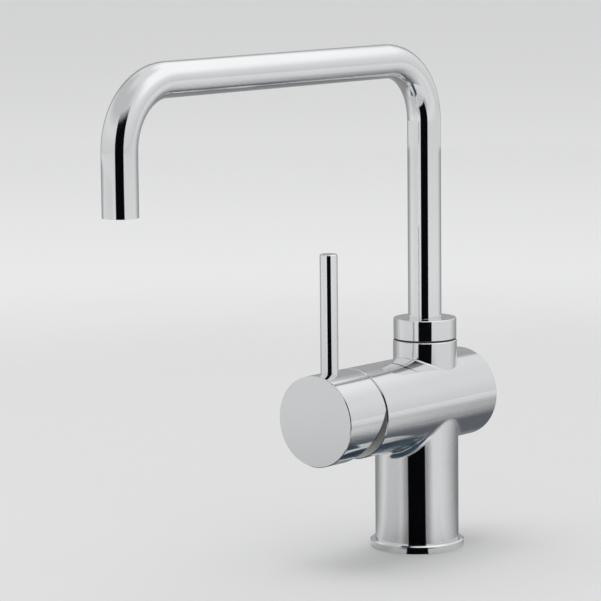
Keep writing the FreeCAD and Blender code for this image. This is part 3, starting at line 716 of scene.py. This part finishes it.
white_plastic = moulded_plastic(
    "white_acetal", (0.82, 0.82, 0.79), (0.88, 0.88, 0.86), 0.34, 2600.0)
grey_plastic = moulded_plastic(
    "grey_nylon", (0.31, 0.32, 0.34), (0.38, 0.39, 0.41), 0.42, 3000.0)
dress(["cartridge_housing", "cartridge_rotor", "upper_slide_ring", "lower_slide_ring",
       "aerator_housing", "aerator_screen"], white_plastic)
dress(["cartridge_base", "disc_carrier", "aerator_insert"], grey_plastic)
dress(["swivel_washer"],
      moulded_plastic("black_acetal", (0.030, 0.030, 0.031), (0.048, 0.048, 0.049), 0.38, 3000.0))


# Rubber seals
# The deck gasket, the ring's seal, the port seals, the O-rings and the outlet washer are
# moulded nitrile rubber with a dull, faintly dusty skin.
def seal_rubber():
    material, tree, shader, place = start_material("seal_rubber", 0.0)
    dust = noise_node(tree, place, 320.0, 4.0, 0.65)
    grain = noise_node(tree, place, 3400.0, 2.0)
    tree.links.new(colour_between(tree, dust, (0.022, 0.022, 0.023), (0.046, 0.046, 0.045)),
                   shader.inputs["Base Color"])
    tree.links.new(math_node(tree, "MULTIPLY_ADD", dust, 0.22, 0.58), shader.inputs["Roughness"])
    raise_bump(tree, shader, grain, 0.000015)
    return material


dress(["base_gasket", "base_ring_seal", "port_seals", "rotor_seal", "spout_o_rings",
       "aerator_washer"], seal_rubber())


# Screw threads
# Threads are cut in the two hose holes and the stud's hole, and on the two grub screws and the
# cartridge nut. Each is one ridge wound round its hole or rod, half sunk in the metal.
def thread_tree():
    tree = bpy.data.node_groups.new("screw_thread", "GeometryNodeTree")
    tree.interface.new_socket(name="Geometry", in_out="INPUT", socket_type="NodeSocketGeometry")
    for name, kind, value in (
            ("Radius", "Float", 0.0045), ("Pitch", "Float", 0.001), ("Length", "Float", 0.01),
            ("Ridge", "Float", 0.0003), ("Place", "Vector", (0.0, 0.0, 0.0)),
            ("Turn", "Vector", (0.0, 0.0, 0.0))):
        socket = tree.interface.new_socket(
            name=name, in_out="INPUT", socket_type="NodeSocket" + kind)
        socket.default_value = value
    tree.interface.new_socket(
        name="Material", in_out="INPUT", socket_type="NodeSocketMaterial")
    tree.interface.new_socket(name="Geometry", in_out="OUTPUT", socket_type="NodeSocketGeometry")
    nodes, links = tree.nodes, tree.links
    given, made = nodes.new("NodeGroupInput"), nodes.new("NodeGroupOutput")
    turns = nodes.new("ShaderNodeMath")
    turns.operation = "DIVIDE"
    links.new(given.outputs["Length"], turns.inputs[0])
    links.new(given.outputs["Pitch"], turns.inputs[1])
    helix = nodes.new("GeometryNodeCurveSpiral")
    helix.inputs["Resolution"].default_value = 40
    links.new(turns.outputs[0], helix.inputs["Rotations"])
    links.new(given.outputs["Radius"], helix.inputs["Start Radius"])
    links.new(given.outputs["Radius"], helix.inputs["End Radius"])
    links.new(given.outputs["Length"], helix.inputs["Height"])
    stand = nodes.new("GeometryNodeSetCurveNormal")
    stand.mode = "Z_UP"
    links.new(helix.outputs["Curve"], stand.inputs["Curve"])
    ridge = nodes.new("GeometryNodeCurvePrimitiveCircle")
    ridge.inputs["Resolution"].default_value = 4
    links.new(given.outputs["Ridge"], ridge.inputs["Radius"])
    sweep = nodes.new("GeometryNodeCurveToMesh")
    sweep.inputs["Fill Caps"].default_value = True
    links.new(stand.outputs["Curve"], sweep.inputs["Curve"])
    links.new(ridge.outputs["Curve"], sweep.inputs["Profile Curve"])
    flat = nodes.new("GeometryNodeSetShadeSmooth")
    flat.inputs["Shade Smooth"].default_value = False
    links.new(sweep.outputs["Mesh"], flat.inputs["Geometry"])
    put = nodes.new("GeometryNodeTransform")
    links.new(flat.outputs["Geometry"], put.inputs["Geometry"])
    links.new(given.outputs["Place"], put.inputs["Translation"])
    links.new(given.outputs["Turn"], put.inputs["Rotation"])
    real = nodes.new("GeometryNodeRealizeInstances")
    links.new(put.outputs["Geometry"], real.inputs["Geometry"])
    coat = nodes.new("GeometryNodeSetMaterial")
    links.new(real.outputs["Geometry"], coat.inputs["Geometry"])
    links.new(given.outputs["Material"], coat.inputs["Material"])
    links.new(coat.outputs["Geometry"], made.inputs["Geometry"])
    return tree


screw_thread = thread_tree()


def grown_mesh(name, tree, **values):
    # Runs a geometry tree on an empty object and returns its result as a plain mesh.
    carrier = bpy.data.objects.new(name + "_carrier", bpy.data.meshes.new(name + "_carrier"))
    bpy.context.scene.collection.objects.link(carrier)
    modifier = carrier.modifiers.new("grow", "NODES")
    modifier.node_group = tree
    sockets = {item.name: item.identifier for item in tree.interface.items_tree
               if item.item_type == "SOCKET" and item.in_out == "INPUT"}
    for key, value in values.items():
        modifier[sockets[key.replace("_", " ")]] = value
    held = carrier.evaluated_get(bpy.context.evaluated_depsgraph_get())
    mesh = bpy.data.meshes.new_from_object(held)
    bpy.data.objects.remove(carrier)
    return mesh


def new_piece(name, meshes, body):
    # Joins meshes that are already in place into one piece that rides on a body.
    joined = bmesh.new()
    for mesh in meshes:
        joined.from_mesh(mesh)
    bmesh.ops.recalc_face_normals(joined, faces=joined.faces)
    whole = bpy.data.meshes.new(name)
    joined.to_mesh(whole)
    joined.free()
    whole.materials.append(meshes[0].materials[0])
    piece = bpy.data.objects.new(name, whole)
    bpy.context.scene.collection.objects.link(piece)
    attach(piece, body)


hose_holes = [grown_mesh(
    "hose_thread", screw_thread, Radius=0.0045, Pitch=0.001, Length=0.0110, Ridge=0.00032,
    Place=(0.006, side * 0.009, 0.0446), Material=upright_brass) for side in (-1.0, 1.0)]
new_piece("hose_hole_threads", hose_holes, "mixer_body")
new_piece("stud_hole_thread", [grown_mesh(
    "stud_thread", screw_thread, Radius=0.0034, Pitch=0.00125, Length=0.0110, Ridge=0.00042,
    Place=(-0.010, 0.0, 0.0447), Material=upright_brass)], "mixer_body")
new_piece("hub_screw_thread", [grown_mesh(
    "hub_thread", screw_thread, Radius=0.00288, Pitch=0.0008, Length=0.0026, Ridge=0.00024,
    Place=(0.07375, 0.0, 0.0909), Material=upright_steel)], "handle")
new_piece("spout_screw_thread", [grown_mesh(
    "spout_thread", screw_thread, Radius=0.00195, Pitch=0.0007, Length=0.0034, Ridge=0.00020,
    Place=(-0.0243, 0.0, 0.1079), Turn=(0.0, math.pi / 2.0, 0.0), Material=lying_steel)],
    "mixer_body")
new_piece("nut_thread", [grown_mesh(
    "nut_ridge", screw_thread, Radius=0.01925, Pitch=0.001, Length=0.0032, Ridge=0.00030,
    Place=(0.0468, 0.0, barrel_height), Turn=(0.0, math.pi / 2.0, 0.0), Material=lying_brass)],
    "mixer_body")


# Outlet gauze
# Woven stainless wire lies against the aerator's screen and keeps grit out of the jet. Its
# wires pass over and under each other at right angles.
def gauze_tree():
    tree = bpy.data.node_groups.new("woven_gauze", "GeometryNodeTree")
    tree.interface.new_socket(name="Geometry", in_out="INPUT", socket_type="NodeSocketGeometry")
    for name, kind, value in (
            ("Radius", "Float", 0.006), ("Pitch", "Float", 0.0008), ("Wire", "Float", 0.0001),
            ("Half Count", "Int", 7), ("Place", "Vector", (0.0, 0.0, 0.0))):
        socket = tree.interface.new_socket(
            name=name, in_out="INPUT", socket_type="NodeSocket" + kind)
        socket.default_value = value
    tree.interface.new_socket(
        name="Material", in_out="INPUT", socket_type="NodeSocketMaterial")
    tree.interface.new_socket(name="Geometry", in_out="OUTPUT", socket_type="NodeSocketGeometry")
    nodes, links = tree.nodes, tree.links
    given, made = nodes.new("NodeGroupInput"), nodes.new("NodeGroupOutput")

    def sum_of(operation, first, second):
        node = nodes.new("ShaderNodeMath")
        node.operation = operation
        for index, value in enumerate((first, second)):
            if isinstance(value, (int, float)):
                node.inputs[index].default_value = value
            else:
                links.new(value, node.inputs[index])
        return node.outputs[0]

    join = nodes.new("GeometryNodeJoinGeometry")
    for turn in (0.0, math.pi / 2.0):
        # One wire for each step across the disc, cut to the disc's chord there.
        count = sum_of("ADD", sum_of("MULTIPLY", given.outputs["Half Count"], 2.0), 1.0)
        starts = nodes.new("GeometryNodeMeshLine")
        starts.mode = "OFFSET"
        links.new(count, starts.inputs["Count"])
        first = nodes.new("ShaderNodeCombineXYZ")
        links.new(sum_of("MULTIPLY", sum_of("MULTIPLY", given.outputs["Half Count"], -1.0),
                         given.outputs["Pitch"]), first.inputs["Y"])
        step = nodes.new("ShaderNodeCombineXYZ")
        links.new(given.outputs["Pitch"], step.inputs["Y"])
        links.new(first.outputs["Vector"], starts.inputs["Start Location"])
        links.new(step.outputs["Vector"], starts.inputs["Offset"])
        wire = nodes.new("GeometryNodeCurvePrimitiveLine")
        wire.inputs["Start"].default_value = (-1.0, 0.0, 0.0)
        wire.inputs["End"].default_value = (1.0, 0.0, 0.0)
        at = nodes.new("GeometryNodeInputPosition")
        split = nodes.new("ShaderNodeSeparateXYZ")
        links.new(at.outputs["Position"], split.inputs["Vector"])
        square = sum_of("SUBTRACT", sum_of("POWER", given.outputs["Radius"], 2.0),
                        sum_of("POWER", split.outputs["Y"], 2.0))
        size = nodes.new("ShaderNodeCombineXYZ")
        links.new(sum_of("SQRT", sum_of("MAXIMUM", square, 1.0e-8), 0.0), size.inputs["X"])
        size.inputs["Y"].default_value = 1.0
        size.inputs["Z"].default_value = 1.0
        spread = nodes.new("GeometryNodeInstanceOnPoints")
        links.new(starts.outputs["Mesh"], spread.inputs["Points"])
        links.new(wire.outputs["Curve"], spread.inputs["Instance"])
        links.new(size.outputs["Vector"], spread.inputs["Scale"])
        real = nodes.new("GeometryNodeRealizeInstances")
        links.new(spread.outputs["Instances"], real.inputs["Geometry"])
        fine = nodes.new("GeometryNodeResampleCurve")
        fine.mode = "COUNT"
        fine.inputs["Count"].default_value = 61
        links.new(real.outputs["Geometry"], fine.inputs["Curve"])
        # The wave has its crests halfway between the crossing wires, turned over row by row.
        spot = nodes.new("GeometryNodeInputPosition")
        parts = nodes.new("ShaderNodeSeparateXYZ")
        links.new(spot.outputs["Position"], parts.inputs["Vector"])
        row = sum_of("DIVIDE", parts.outputs["Y"], given.outputs["Pitch"])
        col = sum_of("DIVIDE", parts.outputs["X"], given.outputs["Pitch"])
        phase = sum_of("MULTIPLY", sum_of("ADD", row, col), math.pi)
        lift = sum_of("MULTIPLY", sum_of("COSINE", phase, 0.0), given.outputs["Wire"])
        sway = nodes.new("ShaderNodeCombineXYZ")
        links.new(lift if turn == 0.0 else sum_of("MULTIPLY", lift, -1.0), sway.inputs["Z"])
        bend = nodes.new("GeometryNodeSetPosition")
        links.new(fine.outputs["Curve"], bend.inputs["Geometry"])
        links.new(sway.outputs["Vector"], bend.inputs["Offset"])
        rim = nodes.new("GeometryNodeCurvePrimitiveCircle")
        rim.inputs["Resolution"].default_value = 5
        links.new(given.outputs["Wire"], rim.inputs["Radius"])
        sweep = nodes.new("GeometryNodeCurveToMesh")
        sweep.inputs["Fill Caps"].default_value = True
        links.new(bend.outputs["Geometry"], sweep.inputs["Curve"])
        links.new(rim.outputs["Curve"], sweep.inputs["Profile Curve"])
        spin = nodes.new("GeometryNodeTransform")
        spin.inputs["Rotation"].default_value = (0.0, 0.0, turn)
        links.new(sweep.outputs["Mesh"], spin.inputs["Geometry"])
        links.new(spin.outputs["Geometry"], join.inputs["Geometry"])
    put = nodes.new("GeometryNodeTransform")
    links.new(join.outputs["Geometry"], put.inputs["Geometry"])
    links.new(given.outputs["Place"], put.inputs["Translation"])
    last = nodes.new("GeometryNodeRealizeInstances")
    links.new(put.outputs["Geometry"], last.inputs["Geometry"])
    coat = nodes.new("GeometryNodeSetMaterial")
    links.new(last.outputs["Geometry"], coat.inputs["Geometry"])
    links.new(given.outputs["Material"], coat.inputs["Material"])
    links.new(coat.outputs["Geometry"], made.inputs["Geometry"])
    return tree


outlet_axis = 0.2306
new_piece("outlet_gauze", [grown_mesh(
    "gauze", gauze_tree(), Radius=0.0053, Pitch=0.00075, Wire=0.00009, Half_Count=7,
    Place=(outlet_axis, 0.0, 0.20119), Material=lying_steel)], "spout")
